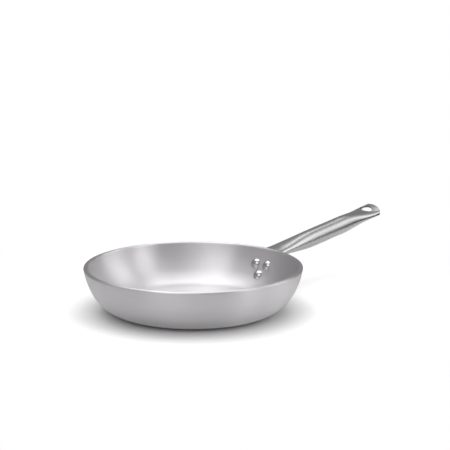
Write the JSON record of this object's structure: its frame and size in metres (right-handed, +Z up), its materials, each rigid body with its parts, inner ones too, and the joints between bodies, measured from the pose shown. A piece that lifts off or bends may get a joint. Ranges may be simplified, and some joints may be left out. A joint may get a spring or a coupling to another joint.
{
  "type": "omelette pan",
  "caption": "Round omelette pan of thick satin aluminium with sloping sides and a riveted tubular stainless handle with a hanging hole.",
  "frame": {"origin": "middle of the underside of the base, on the body's axis of revolution", "axes": "+Z up, +X along the handle away from the body, +Y to the left when looking along the handle away from the body"},
  "size_m": [0.4285, 0.24, 0.0718],
  "materials": {
    "satin_aluminium": "fine spun satin, matte",
    "polished_stainless": "polished along the tube, slightly brushed",
    "polished_rivet": "polished dome"
  },
  "bodies": {
    "root": {"pan_body": "satin_aluminium", "handle": "polished_stainless", "rivet_upper_left": "polished_rivet", "rivet_upper_right": "polished_rivet", "rivet_lower": "polished_rivet"}
  },
  "joints": []
}
